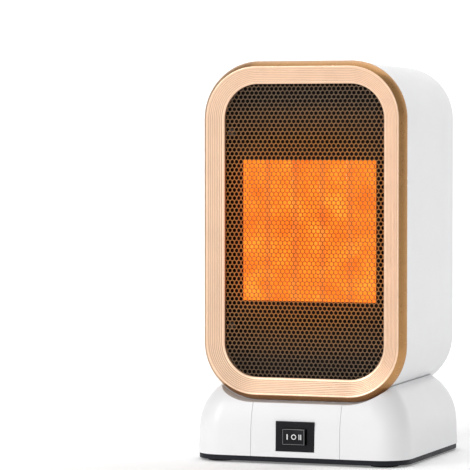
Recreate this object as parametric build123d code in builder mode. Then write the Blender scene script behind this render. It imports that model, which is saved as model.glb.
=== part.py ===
from build123d import *
import os
from math import cos, hypot, radians, sin, sqrt

os.makedirs("parts", exist_ok=True)

# Millimetres. X runs to the right seen from the front, Y to the rear, Z up from the soles of the feet.

# Body: a rounded upright box, its outline given at the back edge of the front trim
BODY_WIDTH = 134.6
BODY_HEIGHT = 214.0
BODY_CORNER = 36.5
BODY_BOTTOM = 38.5
BODY_Z = BODY_BOTTOM + BODY_HEIGHT / 2

# Base: a low dome on a black plate and four feet
BASE_WIDTH = 141.0
BASE_DEPTH = 137.0
BASE_CORNER = 20.0
FOOT_HEIGHT = 1.4
PLATE_TOP = 4.6
DOME_START = 20.0
DOME_HEIGHT = 32.0
DOME_REACH = 23.0
DRAFT = 0.03
WALL = 2.4

# How far the rocker and the cord gland stand out, which centres the whole in Y
SWITCH_PROUD = 2.9
GLAND_PROUD = 5.0
BASE_FRONT = (SWITCH_PROUD - GLAND_PROUD - BASE_DEPTH) / 2
BASE_REAR = BASE_FRONT + BASE_DEPTH
FACE_Y = BASE_FRONT + 11.3

# Depths behind the trim's front face
TRIM_EDGE = 7.5
SLEEVE_FRONT = 7.8
SLEEVE_REAR = 121.6
SLEEVE_TAPER = 1.9
SLEEVE_INSET = 0.6
REAR_FILLET = 6.0
LIP_FRONT = 116.6
LIP_INSET = 9.0

# Front trim, measured outwards from its opening
TRIM_BAND = 14.5
OPENING_WIDTH = BODY_WIDTH - 2 * TRIM_BAND
OPENING_HEIGHT = BODY_HEIGHT - 2 * TRIM_BAND
OPENING_CORNER = BODY_CORNER - TRIM_BAND
FACE_BAND = 10.7
FACE_RECESS = 5.0
GROOVES = 8
GROOVE_PITCH = 1.05
GROOVE_DEPTH = 0.25
GROOVE_START = 1.2
LEDGE = 3.4
MESH_FRONT = 6.9
MESH_BACK = 8.1
MESH_PITCH = 9.0
MESH_STRAND = 1.3
MESH_GRID = (15, 25)
MESH_GAP = 0.3
SKIRT = (9.4, 11.2)
SKIRT_BACK = 13.0
FRAME_BAND = (1.2, 9.1)
FRAME_BACK = 10.1

# Screws: the small ones hold trims and panels, the large ones hold the base
SCREW_R = 1.25
SCREW_HOLE = 1.3
SCREW_CLEAR = 1.45
HEAD_R = 2.4
HEAD_HEIGHT = 1.6
TRIM_SCREW_LENGTH = 5.4
PANEL_SCREW_LENGTH = 5.6
DUCT_SCREW_LENGTH = 9.0
SHROUD_SCREW_LENGTH = 6.0
MOTOR_SCREW_LENGTH = 4.0
BOARD_SCREW_LENGTH = 6.0
NECK_SCREW_LENGTH = 11.0
BASE_SCREW_LENGTH = 14.0

# Rear panel, handle pocket and intake slots
PANEL_GAP = 0.3
PANEL_FRONT = 117.4
PANEL_BACK = 119.6
RIM_FRONT = 114.4
RIM_WALL = 2.0
FLANGE_REACH = 5.6
FLANGE = 2.0
POCKET_WIDTH = 88.0
POCKET_HEIGHT = 28.0
POCKET_UP = 76.0
POCKET_FLOOR = 91.0
POCKET_TOP_CORNER = 17.0
POCKET_LOW_CORNER = 9.5
CUP_WALL = 2.0
CUP_FLANGE = 3.0
CUP_FILLET = 3.0
SLOT_COLUMNS = 23
SLOT_ROWS = 17
SLOT_PITCH = 4.7
SLOT_ROW = 9.0
SLOT_LONG = 7.0
SLOT_WIDE = 3.0
SLOT_TOP = 53.5
SLOT_EDGE = 1.5

# Heater stack, duct and fan
STACK_WIDTH = 88.0
STACK_HEIGHT = 92.0
STACK_FRONT = 15.0
STACK_BACK = 28.0
BARS = 4
BAR_WIDTH = 3.2
FIN_PITCH = 3.0
FIN_SHEET = 0.5
DUCT_WIDTH = 92.0
DUCT_HEIGHT = 105.0
DUCT_WALL = 2.0
DUCT_FRONT = 13.0
BULKHEAD_FRONT = 28.5
BULKHEAD_BACK = 30.5
DUCT_REAR = 62.0
SHROUD_WIDTH = 112.0
SHROUD_HEIGHT = 116.0
SHROUD_PLATE = 2.5
SHROUD_WALL = 2.0
SPIDER_ARM = 6.0
FAN_BORE = 49.0
FAN_TIP = 46.5
HUB_R = 15.0
HUB_FRONT = 70.0
HUB_BACK = 86.0
BLADES = 7
SPIDER_FRONT = 90.0
SPIDER_BACK = 92.5
CAN_R = 15.5
CAN_BACK = 110.5
MOTOR_BACK = 112.5
SHAFT_R = 1.5
BUSH_R = 3.0
FIT = 0.03

# Switch in the front of the base
SWITCH_Z = 17.7
BEZEL_WIDTH = 25.4
BEZEL_HEIGHT = 18.8
BEZEL_GAP = 0.3
BEZEL_FRONT = BASE_FRONT - 0.3
BEZEL_BACK = BASE_FRONT + 1.3
BOX_BACK = BEZEL_BACK + 13.0
BOX_SIZE = (21.8, 15.4)
SWITCH_OPENING = (16.0, 10.1)
ROCKER_SIZE = (14.4, 9.7)
PIVOT_Y = BEZEL_FRONT + 2.2
PIN_R = 1.2
PIN_REACH = 6.2
BLADE = (0.8, 6.3)
BLADE_LENGTH = 8.0
SEAM_X = 29.4
SEAM_GAP = 0.12

# Foot, plunger and gland places
FOOT_R = 9.0
FOOT_STEM_R = 2.5
FOOT_BUTTON_R = 3.2
FOOT_BUTTON = 1.2
FEET = {
    "foot_front_left": (-54.0, BASE_FRONT + 15.0),
    "foot_front_right": (54.0, BASE_FRONT + 15.0),
    "foot_rear_left": (-54.0, BASE_REAR - 15.0),
    "foot_rear_right": (54.0, BASE_REAR - 15.0),
}
BASE_POSTS = [(x, y) for x in (-50.0, 50.0) for y in (BASE_FRONT + 34.0, BASE_REAR - 34.0)]
BASE_POST_R = 4.2
BASE_SCREW_R = 1.55
BASE_HEAD_R = 3.0
BASE_HEAD_HEIGHT = 1.8
NECK_DEPTHS = (40.0, 90.0)
NECK_X = 22.0
PLUNGER = (26.0, 4.0)
PLUNGER_R = 3.1
GLAND_Z = 17.0
GLAND_BORE = 3.6
GLAND_NECK = 6.0


def facing(depth):
    """Plane parallel to the front, so deep behind the trim's face: x right, y up, normal to the front."""
    return Plane(origin=(0, FACE_Y + depth, BODY_Z), x_dir=(1, 0, 0), z_dir=(0, -1, 0))


def sleeve_taper(depth):
    """How far each side of the sleeve has drawn in at this depth."""
    return SLEEVE_TAPER * (depth - SLEEVE_FRONT) / (SLEEVE_REAR - SLEEVE_FRONT)


def sleeve_outline(depth, inset):
    """Draws the sleeve's outline at a depth, made smaller by an inset on every side."""
    inwards = SLEEVE_INSET + sleeve_taper(depth) + inset
    RectangleRounded(BODY_WIDTH - 2 * inwards, BODY_HEIGHT - 2 * inwards, BODY_CORNER - inwards)


def around_opening(outwards):
    """Draws the trim's opening, made larger on every side."""
    RectangleRounded(
        OPENING_WIDTH + 2 * outwards, OPENING_HEIGHT + 2 * outwards, OPENING_CORNER + outwards
    )


def rear_outline(inset):
    """Draws the rear panel's opening, made smaller by an inset on every side."""
    inwards = SLEEVE_INSET + SLEEVE_TAPER + LIP_INSET + inset
    RectangleRounded(BODY_WIDTH - 2 * inwards, BODY_HEIGHT - 2 * inwards, BODY_CORNER - inwards)


def pocket_outline(outwards):
    """Draws the finger pocket: flat below, with upper corners that follow the panel."""
    with BuildSketch(mode=Mode.PRIVATE) as pocket:
        with Locations((0, POCKET_UP)):
            Rectangle(POCKET_WIDTH, POCKET_HEIGHT)
        fillet(pocket.vertices().group_by(Axis.Y)[-1], POCKET_TOP_CORNER)
        fillet(pocket.vertices().group_by(Axis.Y)[0], POCKET_LOW_CORNER)
        if outwards:
            offset(amount=outwards)
    add(pocket.sketch)


def on_panel(x, y):
    """Whether an intake slot centred here stays inside the panel's rounded edge."""
    half_width = BODY_WIDTH / 2 - SLEEVE_INSET - SLEEVE_TAPER - LIP_INSET - PANEL_GAP
    half_height = half_width + (BODY_HEIGHT - BODY_WIDTH) / 2
    radius = BODY_CORNER - SLEEVE_INSET - SLEEVE_TAPER - LIP_INSET
    beyond_x = max(abs(x) - (half_width - radius), 0)
    beyond_y = max(abs(y) + SLOT_LONG / 2 - (half_height - radius), 0)
    return hypot(beyond_x, beyond_y) < radius - SLOT_WIDE / 2 - SLOT_EDGE


def dome_inset(z):
    """How far the base's side has drawn in at a height."""
    rise = min(max(z - DOME_START, 0) / DOME_HEIGHT, 1)
    return DRAFT * (z - PLATE_TOP) + DOME_REACH * (1 - sqrt(1 - rise**2))


def base_outline(inset):
    """Draws the base's plan, made smaller on every side."""
    with Locations((0, (BASE_FRONT + BASE_REAR) / 2)):
        RectangleRounded(BASE_WIDTH - 2 * inset, BASE_DEPTH - 2 * inset, BASE_CORNER - 0.4 * inset)


TRIM_SCREWS = [(x, y) for x in (-59.2, 59.2) for y in (-50.0, 50.0)] + [(0, -98.6), (0, 98.6)]
PANEL_SCREWS = [(x, y) for x in (-58.9, 58.9) for y in (-48.0, 48.0)] + [(0, -98.4), (0, 98.4)]
DUCT_SCREW_X = 56.5
DUCT_SCREW_Y = 62.0
DUCT_SCREWS = [(x, y) for x in (-DUCT_SCREW_X, DUCT_SCREW_X) for y in (-DUCT_SCREW_Y, DUCT_SCREW_Y)]
SHROUD_SCREWS = [(x, y) for x in (-51.5, 51.5) for y in (-53.5, 53.5)]
MOTOR_SCREWS = [(-10.0, 0), (10.0, 0)]


# --- Front trim: a grooved funnel face, an outer bevel, a ledge for the mesh and a skirt into the sleeve
def face_depth(outwards):
    """Depth of the plain funnel face at a distance outwards from the opening."""
    return FACE_RECESS * (1 - outwards / FACE_BAND)


trim_points = [(0, MESH_FRONT), (0, face_depth(0))]
for groove in range(GROOVES):
    groove_at = GROOVE_START + groove * GROOVE_PITCH
    groove_middle = groove_at + GROOVE_PITCH / 2
    trim_points.append((groove_at, face_depth(groove_at)))
    trim_points.append((groove_middle, face_depth(groove_middle) + GROOVE_DEPTH))
groove_end = GROOVE_START + GROOVES * GROOVE_PITCH
trim_points += [
    (groove_end, face_depth(groove_end)),
    (FACE_BAND, 0),
    (TRIM_BAND - 0.4, TRIM_EDGE - 1.0),
    (TRIM_BAND, TRIM_EDGE),
    (SKIRT[1], TRIM_EDGE),
    (SKIRT[1], SKIRT_BACK),
    (SKIRT[0], SKIRT_BACK),
    (SKIRT[0], MESH_BACK),
    (LEDGE, MESH_BACK),
    (LEDGE, MESH_FRONT),
]

with BuildPart() as front_trim:
    with BuildLine(facing(0)) as trim_path:
        trim_side = Line((OPENING_WIDTH / 2, 0), (OPENING_WIDTH / 2, OPENING_HEIGHT / 2 - OPENING_CORNER))
        trim_turn = JernArc(trim_side @ 1, trim_side % 1, OPENING_CORNER, 90)
        Line(trim_turn @ 1, (0, OPENING_HEIGHT / 2))
    section_plane = Plane(origin=(OPENING_WIDTH / 2, FACE_Y, BODY_Z), x_dir=(1, 0, 0), z_dir=(0, 0, 1))
    with BuildSketch(section_plane):
        with BuildLine():
            Polyline(*trim_points, close=True)
        make_face()
    sweep(path=trim_path.wire())
    mirror(about=Plane.YZ)
    mirror(about=Plane.XY.offset(BODY_Z))
    with BuildSketch(facing(MESH_BACK)):
        with Locations(*TRIM_SCREWS):
            Circle(SCREW_HOLE)
    extrude(amount=TRIM_SCREW_LENGTH - 1.7, mode=Mode.SUBTRACT)
front_trim.part.label = "front_trim"
export_step(front_trim.part, "parts/front_trim.step")

# --- Front mesh: hexagonal holes in a thin sheet, coarser than the real one
with BuildPart() as front_mesh:
    with BuildSketch(facing(MESH_FRONT)):
        around_opening(LEDGE - MESH_GAP)
        with BuildSketch(mode=Mode.PRIVATE) as mesh_holes:
            around_opening(0)
            with BuildSketch(mode=Mode.PRIVATE) as mesh_grid:
                with HexLocations(MESH_PITCH / 2, *MESH_GRID):
                    RegularPolygon((MESH_PITCH - MESH_STRAND) / 2, 6, major_radius=False)
            add(mesh_grid.sketch, mode=Mode.INTERSECT)
        add(mesh_holes.sketch, mode=Mode.SUBTRACT)
    extrude(amount=-(MESH_BACK - MESH_FRONT))
front_mesh.part.label = "front_mesh"
export_step(front_mesh.part, "parts/front_mesh.step")

# --- Mesh frame: a flat ring behind the mesh, screwed to the trim
with BuildPart() as mesh_frame:
    with BuildSketch(facing(MESH_BACK)):
        around_opening(FRAME_BAND[1])
    extrude(amount=-(FRAME_BACK - MESH_BACK))
    with BuildSketch(facing(MESH_BACK)):
        around_opening(FRAME_BAND[0])
    extrude(amount=-(FRAME_BACK - MESH_BACK), mode=Mode.SUBTRACT)
    with BuildSketch(facing(MESH_BACK)):
        with Locations(*TRIM_SCREWS):
            Circle(SCREW_CLEAR)
    extrude(amount=-(FRAME_BACK - MESH_BACK), mode=Mode.SUBTRACT)
mesh_frame.part.label = "mesh_frame"
export_step(mesh_frame.part, "parts/mesh_frame.step")

with BuildPart() as trim_screws:
    with BuildSketch(facing(FRAME_BACK)):
        with Locations(*TRIM_SCREWS):
            Circle(SCREW_R)
    extrude(amount=TRIM_SCREW_LENGTH)
    with BuildSketch(facing(FRAME_BACK)):
        with Locations(*TRIM_SCREWS):
            Circle(HEAD_R)
    extrude(amount=-HEAD_HEIGHT)
trim_screws.part.label = "trim_screws"
export_step(trim_screws.part, "parts/trim_screws.step")


# --- Main housing: the white tapering sleeve with a rounded rear rim and inner bosses
def sleeve_floor(depth):
    """Height of the sleeve's underside at a depth."""
    return BODY_BOTTOM + SLEEVE_INSET + sleeve_taper(depth)


NECK_SCREWS = [(x, FACE_Y + depth) for x in (-NECK_X, NECK_X) for depth in NECK_DEPTHS]
WIRE_HOLE = (0, FACE_Y + 65.0)
WIRE_HOLE_R = 7.0
POST_R = 4.0
POST_LENGTH = 20.0
POST_RIB = 4.0
NECK_POST = 10.0

with BuildPart() as main_housing:
    with BuildSketch(facing(SLEEVE_FRONT)):
        sleeve_outline(SLEEVE_FRONT, 0)
    with BuildSketch(facing(SLEEVE_REAR)):
        sleeve_outline(SLEEVE_REAR, 0)
    loft()
    fillet(main_housing.faces().sort_by(Axis.Y)[-1].edges(), REAR_FILLET)
    with BuildSketch(facing(SLEEVE_FRONT)):
        sleeve_outline(SLEEVE_FRONT, WALL)
    with BuildSketch(facing(LIP_FRONT)):
        sleeve_outline(LIP_FRONT, WALL)
    loft(mode=Mode.SUBTRACT)
    with BuildSketch(facing(SLEEVE_REAR)):
        rear_outline(0)
    extrude(amount=SLEEVE_REAR - LIP_FRONT, mode=Mode.SUBTRACT)
    # Posts for the duct's bulkhead, each on a rib from the side wall
    with BuildSketch(facing(BULKHEAD_BACK)):
        with Locations(*DUCT_SCREWS):
            Circle(POST_R)
        for side in (-1, 1):
            rib_x = side * (DUCT_SCREW_X + POST_RIB)
            with Locations((rib_x, -DUCT_SCREW_Y), (rib_x, DUCT_SCREW_Y)):
                Rectangle(2 * POST_RIB, 5.0)
    extrude(amount=-POST_LENGTH)
    with BuildSketch(facing(BULKHEAD_BACK)):
        with Locations(*DUCT_SCREWS):
            Circle(SCREW_HOLE)
    extrude(amount=-DUCT_SCREW_LENGTH, mode=Mode.SUBTRACT)
    # Posts on the floor for the screws that come up out of the base
    with BuildSketch(Plane.XY.offset(sleeve_floor(NECK_DEPTHS[1]) + 0.4)):
        with Locations(*NECK_SCREWS):
            Circle(POST_R)
    extrude(amount=NECK_POST)
    with BuildSketch(Plane.XY.offset(BODY_BOTTOM)):
        with Locations(*NECK_SCREWS):
            Circle(SCREW_HOLE)
    extrude(amount=NECK_POST, mode=Mode.SUBTRACT)
    with BuildSketch(Plane.XY.offset(BODY_BOTTOM)):
        with Locations(WIRE_HOLE):
            Circle(WIRE_HOLE_R)
    extrude(amount=6.0, mode=Mode.SUBTRACT)
    # Holes in the rear lip for the panel's screws
    with BuildSketch(facing(LIP_FRONT)):
        with Locations(*PANEL_SCREWS):
            Circle(SCREW_HOLE)
    extrude(amount=-(PANEL_SCREW_LENGTH - FLANGE), mode=Mode.SUBTRACT)
main_housing.part.label = "main_housing"
export_step(main_housing.part, "parts/main_housing.step")

# --- Rear panel: intake slots, an opening for the finger pocket and a flange behind the sleeve's lip
SLOTS = []
for column in range(SLOT_COLUMNS):
    slot_x = (column - (SLOT_COLUMNS - 1) / 2) * SLOT_PITCH
    for row in range(SLOT_ROWS):
        slot_y = SLOT_TOP - SLOT_ROW * (row + 0.5 * (column % 2))
        if on_panel(slot_x, slot_y):
            SLOTS.append((slot_x, slot_y))

with BuildPart() as rear_panel:
    with BuildSketch(facing(PANEL_FRONT)):
        rear_outline(PANEL_GAP)
        with BuildSketch(mode=Mode.PRIVATE) as pocket_hole:
            pocket_outline(0)
        add(pocket_hole.sketch, mode=Mode.SUBTRACT)
        with Locations(*SLOTS):
            SlotOverall(SLOT_LONG, SLOT_WIDE, rotation=90, mode=Mode.SUBTRACT)
    extrude(amount=-(PANEL_BACK - PANEL_FRONT))
    with BuildSketch(facing(RIM_FRONT)):
        rear_outline(PANEL_GAP)
        with BuildSketch(mode=Mode.PRIVATE) as rim_inside:
            rear_outline(PANEL_GAP + RIM_WALL)
        add(rim_inside.sketch, mode=Mode.SUBTRACT)
    extrude(amount=-(PANEL_FRONT - RIM_FRONT))
    with BuildSketch(facing(RIM_FRONT)):
        rear_outline(-FLANGE_REACH)
        with BuildSketch(mode=Mode.PRIVATE) as flange_inside:
            rear_outline(PANEL_GAP + RIM_WALL)
        add(flange_inside.sketch, mode=Mode.SUBTRACT)
        with Locations(*PANEL_SCREWS):
            Circle(SCREW_CLEAR, mode=Mode.SUBTRACT)
    extrude(amount=-FLANGE)
rear_panel.part.label = "rear_panel"
export_step(rear_panel.part, "parts/rear_panel.step")

with BuildPart() as panel_screws:
    with BuildSketch(facing(RIM_FRONT)):
        with Locations(*PANEL_SCREWS):
            Circle(SCREW_R)
    extrude(amount=-PANEL_SCREW_LENGTH)
    with BuildSketch(facing(RIM_FRONT)):
        with Locations(*PANEL_SCREWS):
            Circle(HEAD_R)
    extrude(amount=HEAD_HEIGHT)
panel_screws.part.label = "panel_screws"
export_step(panel_screws.part, "parts/panel_screws.step")

# --- Handle cup: the finger pocket behind the panel's opening
with BuildPart() as handle_cup:
    with BuildSketch(facing(POCKET_FLOOR - CUP_WALL)):
        pocket_outline(CUP_WALL)
    extrude(amount=-(PANEL_FRONT - POCKET_FLOOR + CUP_WALL))
    with BuildSketch(facing(PANEL_FRONT - CUP_WALL)):
        pocket_outline(CUP_FLANGE)
    extrude(amount=-CUP_WALL)
    with BuildSketch(facing(POCKET_FLOOR)):
        pocket_outline(0)
    extrude(amount=-(PANEL_FRONT - POCKET_FLOOR), mode=Mode.SUBTRACT)
    fillet(handle_cup.faces().sort_by(Axis.Y)[1].edges(), CUP_FILLET)
handle_cup.part.label = "handle_cup"
export_step(handle_cup.part, "parts/handle_cup.step")

BLOCK_WIDTH = (STACK_WIDTH - BARS * BAR_WIDTH) / (BARS + 1)
BLOCK_PITCH = BLOCK_WIDTH + BAR_WIDTH
BAR_X = [(bar - (BARS - 1) / 2) * BLOCK_PITCH for bar in range(BARS)]
BLOCK_X = [(block - BARS / 2) * BLOCK_PITCH for block in range(BARS + 1)]
STACK_DEPTH = STACK_BACK - STACK_FRONT
STACK_Y = FACE_Y + (STACK_FRONT + STACK_BACK) / 2
TAB_X = [x - 0.77 for x in BAR_X]
TAB_WIDTH = 6.0
TAB_TOP = 60.0
DUCT_GAP = 0.5
DUCT_RIM = 5.0
RAIL_INNER = STACK_WIDTH / 2 + 0.3
RAIL_OUTER = (DUCT_WIDTH + DUCT_WALL) / 2
RAIL_HEIGHT = 88.4
RAIL_DEPTH = STACK_DEPTH - 2.0

# --- Air duct: a bulkhead across the sleeve with a rectangular duct through it
with BuildPart() as air_duct:
    with BuildSketch(facing(BULKHEAD_FRONT)):
        sleeve_outline(BULKHEAD_BACK, WALL + DUCT_GAP)
    extrude(amount=-(BULKHEAD_BACK - BULKHEAD_FRONT))
    with BuildSketch(facing(DUCT_FRONT)):
        Rectangle(DUCT_WIDTH + 2 * DUCT_WALL, DUCT_HEIGHT + 2 * DUCT_WALL)
    extrude(amount=-(DUCT_REAR - DUCT_FRONT))
    with BuildSketch(facing(DUCT_REAR - DUCT_RIM)):
        Rectangle(SHROUD_WIDTH, SHROUD_HEIGHT)
    extrude(amount=-DUCT_RIM)
    with BuildSketch(facing(DUCT_FRONT)):
        Rectangle(DUCT_WIDTH, DUCT_HEIGHT)
    extrude(amount=-(DUCT_REAR - DUCT_FRONT), mode=Mode.SUBTRACT)
    # Side rails that keep air from passing round the heater stack
    with BuildSketch(facing(STACK_FRONT + 1.0)):
        for side in (-1, 1):
            with Locations((side * (RAIL_INNER + RAIL_OUTER) / 2, 0)):
                Rectangle(RAIL_OUTER - RAIL_INNER, RAIL_HEIGHT)
    extrude(amount=-RAIL_DEPTH)
    with BuildSketch(Plane(origin=(0, STACK_Y, BODY_Z))):
        with Locations(*[(x, 0) for x in TAB_X]):
            Rectangle(1.2, TAB_WIDTH + 1.0)
    extrude(amount=TAB_TOP, mode=Mode.SUBTRACT)
    with BuildSketch(facing(BULKHEAD_FRONT)):
        with Locations(*DUCT_SCREWS):
            Circle(SCREW_CLEAR)
    extrude(amount=-(BULKHEAD_BACK - BULKHEAD_FRONT), mode=Mode.SUBTRACT)
    with BuildSketch(facing(DUCT_REAR)):
        with Locations(*SHROUD_SCREWS):
            Circle(SCREW_HOLE)
    extrude(amount=SHROUD_SCREW_LENGTH - SHROUD_PLATE + 0.5, mode=Mode.SUBTRACT)
air_duct.part.label = "air_duct"
export_step(air_duct.part, "parts/air_duct.step")

with BuildPart() as duct_screws:
    with BuildSketch(facing(BULKHEAD_FRONT)):
        with Locations(*DUCT_SCREWS):
            Circle(SCREW_R)
    extrude(amount=-DUCT_SCREW_LENGTH + 1.0)
    with BuildSketch(facing(BULKHEAD_FRONT)):
        with Locations(*DUCT_SCREWS):
            Circle(HEAD_R)
    extrude(amount=HEAD_HEIGHT)
duct_screws.part.label = "duct_screws"
export_step(duct_screws.part, "parts/duct_screws.step")

# --- Heater stack: bars that hold the ceramic stones, finned blocks between them and two end caps
BAR_SHEET = 0.6
STONE_HEIGHT = 20.0
STONES = [-33.0, -11.0, 11.0, 33.0]

with BuildPart() as ptc_bars:
    with BuildSketch(Plane(origin=(0, STACK_Y, BODY_Z))):
        with Locations(*[(x, 0) for x in BAR_X]):
            Rectangle(BAR_WIDTH, STACK_DEPTH)
            Rectangle(BAR_WIDTH - 2 * BAR_SHEET, STACK_DEPTH - 2 * BAR_SHEET, mode=Mode.SUBTRACT)
    extrude(amount=STACK_HEIGHT / 2, both=True)
ptc_bars.part.label = "ptc_bars"
export_step(ptc_bars.part, "parts/ptc_bars.step")

with BuildPart() as ptc_stones:
    for height in STONES:
        with BuildSketch(Plane(origin=(0, STACK_Y, BODY_Z + height))):
            with Locations(*[(x + 0.2, 0) for x in BAR_X]):
                Rectangle(BAR_WIDTH - 2 * BAR_SHEET - 0.5, STACK_DEPTH - 2 * BAR_SHEET - 0.2)
        extrude(amount=STONE_HEIGHT / 2, both=True)
ptc_stones.part.label = "ptc_stones"
export_step(ptc_stones.part, "parts/ptc_stones.step")

# Contact strips lie beside the stones and stand out of the top end as tabs
with BuildPart() as ptc_electrodes:
    with BuildSketch(Plane(origin=(0, STACK_Y, BODY_Z - STACK_HEIGHT / 2 + 2))):
        with Locations(*[(x, 0) for x in TAB_X]):
            Rectangle(0.3, TAB_WIDTH)
    extrude(amount=TAB_TOP + STACK_HEIGHT / 2 - 2)
ptc_electrodes.part.label = "ptc_electrodes"
export_step(ptc_electrodes.part, "parts/ptc_electrodes.step")

FIN_COUNT = int((STACK_HEIGHT - 8.0) / FIN_PITCH)
with BuildPart() as ptc_fins:
    with BuildSketch(facing(STACK_FRONT)):
        for x in BLOCK_X:
            for side in (-1, 1):
                with Locations((x + side * (BLOCK_WIDTH - FIN_SHEET) / 2, 0)):
                    Rectangle(FIN_SHEET, STACK_HEIGHT)
            for fin in range(FIN_COUNT + 1):
                with Locations((x, (fin - FIN_COUNT / 2) * FIN_PITCH)):
                    Rectangle(BLOCK_WIDTH - 0.4, FIN_SHEET)
    extrude(amount=-STACK_DEPTH)
ptc_fins.part.label = "ptc_fins"
export_step(ptc_fins.part, "parts/ptc_fins.step")

CAP_HEIGHT = 7.5
CAP_BITE = 1.5
for cap_name, cap_side in (("heater_cap_bottom", -1), ("heater_cap_top", 1)):
    cap_middle = cap_side * (STACK_HEIGHT / 2 - CAP_BITE + CAP_HEIGHT / 2)
    with BuildPart() as heater_cap:
        with BuildSketch(facing(STACK_FRONT - 1.0)):
            with Locations((0, cap_middle)):
                Rectangle(DUCT_WIDTH - 0.6, CAP_HEIGHT)
        extrude(amount=-(STACK_DEPTH + 2.0))
        with BuildSketch(facing(STACK_FRONT)):
            Rectangle(STACK_WIDTH + 0.2, STACK_HEIGHT)
        extrude(amount=-STACK_DEPTH, mode=Mode.SUBTRACT)
        if cap_side > 0:
            with BuildSketch(Plane(origin=(0, STACK_Y, BODY_Z))):
                with Locations(*[(x, 0) for x in TAB_X]):
                    Rectangle(0.5, TAB_WIDTH + 0.2)
            extrude(amount=STACK_HEIGHT, mode=Mode.SUBTRACT)
    heater_cap.part.label = cap_name
    export_step(heater_cap.part, f"parts/{cap_name}.step")

# --- Safety parts on top of the duct: a thermostat disc and a thermal fuse between its leads
SAFETY_TOP = BODY_Z + DUCT_HEIGHT / 2 + DUCT_WALL
SAFETY_Y = FACE_Y + 46.0
CUTOUT_X = -14.0
CUTOUT_SIZES = [(8.0, 5.0), (6.5, 7.5)]
CUTOUT_BLADE = (9.0, 4.0)
CUTOUT_BLADE_SHEET = 0.8
CUTOUT_BLADE_REACH = 11.0
FUSE_X = 20.0
FUSE_R = 2.0
FUSE_LENGTH = 12.0
LEAD_R = 0.5
LEAD_LENGTH = 24.0

with BuildPart() as thermal_cutout:
    for cutout_r, cutout_height in CUTOUT_SIZES:
        with BuildSketch(Plane.XY.offset(SAFETY_TOP)):
            with Locations((CUTOUT_X, SAFETY_Y)):
                Circle(cutout_r)
        extrude(amount=cutout_height)
    with BuildSketch(Plane.XY.offset(SAFETY_TOP + CUTOUT_BLADE_SHEET)):
        with Locations((CUTOUT_X - CUTOUT_BLADE_REACH, SAFETY_Y), (CUTOUT_X + CUTOUT_BLADE_REACH, SAFETY_Y)):
            Rectangle(*CUTOUT_BLADE)
    extrude(amount=CUTOUT_BLADE_SHEET)
thermal_cutout.part.label = "thermal_cutout"
export_step(thermal_cutout.part, "parts/thermal_cutout.step")

with BuildPart() as thermal_fuse:
    with BuildSketch(Plane(origin=(FUSE_X, SAFETY_Y, SAFETY_TOP + FUSE_R), z_dir=(1, 0, 0))):
        Circle(FUSE_R)
    extrude(amount=FUSE_LENGTH / 2, both=True)
    with BuildSketch(Plane(origin=(FUSE_X, SAFETY_Y, SAFETY_TOP + FUSE_R), z_dir=(1, 0, 0))):
        Circle(LEAD_R)
    extrude(amount=LEAD_LENGTH / 2, both=True)
thermal_fuse.part.label = "thermal_fuse"
export_step(thermal_fuse.part, "parts/thermal_fuse.step")

# --- Fan shroud: a plate and a round wall about the fan, with a spider that carries the motor
with BuildPart() as fan_shroud:
    with BuildSketch(facing(DUCT_REAR)):
        Rectangle(SHROUD_WIDTH, SHROUD_HEIGHT)
    extrude(amount=-SHROUD_PLATE)
    with BuildSketch(facing(DUCT_REAR)):
        Circle(FAN_BORE + SHROUD_WALL)
    extrude(amount=-(SPIDER_BACK - DUCT_REAR))
    with BuildSketch(facing(DUCT_REAR)):
        Circle(FAN_BORE)
    extrude(amount=-(SPIDER_BACK - DUCT_REAR), mode=Mode.SUBTRACT)
    with BuildSketch(facing(SPIDER_FRONT)):
        Circle(CAN_R + 3.0)
        for turn in (-45, 45):
            Rectangle(2 * FAN_BORE + SHROUD_WALL, SPIDER_ARM, rotation=turn)
        Circle(BUSH_R + 3.0, mode=Mode.SUBTRACT)
        with Locations(*MOTOR_SCREWS):
            Circle(SCREW_CLEAR, mode=Mode.SUBTRACT)
    extrude(amount=-(SPIDER_BACK - SPIDER_FRONT))
    with BuildSketch(facing(DUCT_REAR)):
        with Locations(*SHROUD_SCREWS):
            Circle(SCREW_CLEAR)
    extrude(amount=-SHROUD_PLATE, mode=Mode.SUBTRACT)
fan_shroud.part.label = "fan_shroud"
export_step(fan_shroud.part, "parts/fan_shroud.step")

with BuildPart() as shroud_screws:
    with BuildSketch(facing(DUCT_REAR + SHROUD_PLATE)):
        with Locations(*SHROUD_SCREWS):
            Circle(SCREW_R)
    extrude(amount=SHROUD_SCREW_LENGTH)
    with BuildSketch(facing(DUCT_REAR + SHROUD_PLATE)):
        with Locations(*SHROUD_SCREWS):
            Circle(HEAD_R)
    extrude(amount=-HEAD_HEIGHT)
shroud_screws.part.label = "shroud_screws"
export_step(shroud_screws.part, "parts/shroud_screws.step")

# --- Motor: can, end cap, two bushes, magnets, and a rotor on the shaft that carries the impeller
CAN_WALL = 1.2
CAN_FACE = 1.6
MAGNET_R = 14.2
MAGNET_WALL = 2.4
ROTOR_R = 11.0
ROTOR_FRONT = 96.0
ROTOR_BACK = 107.0
MAGNET_SPLIT = 8.0
BUSH_LENGTH = 2.6
POLES = 5
POLE_SLOT = (9.0, 2.4)

with BuildPart() as motor_can:
    with BuildSketch(facing(SPIDER_BACK)):
        Circle(CAN_R)
    extrude(amount=-(CAN_BACK - SPIDER_BACK))
    with BuildSketch(facing(SPIDER_BACK + CAN_FACE)):
        Circle(CAN_R - CAN_WALL)
    extrude(amount=-(CAN_BACK - SPIDER_BACK), mode=Mode.SUBTRACT)
    with BuildSketch(facing(SPIDER_BACK)):
        Circle(BUSH_R + FIT)
        with Locations(*MOTOR_SCREWS):
            Circle(SCREW_HOLE)
    extrude(amount=-CAN_FACE, mode=Mode.SUBTRACT)
motor_can.part.label = "motor_can"
export_step(motor_can.part, "parts/motor_can.step")

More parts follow.
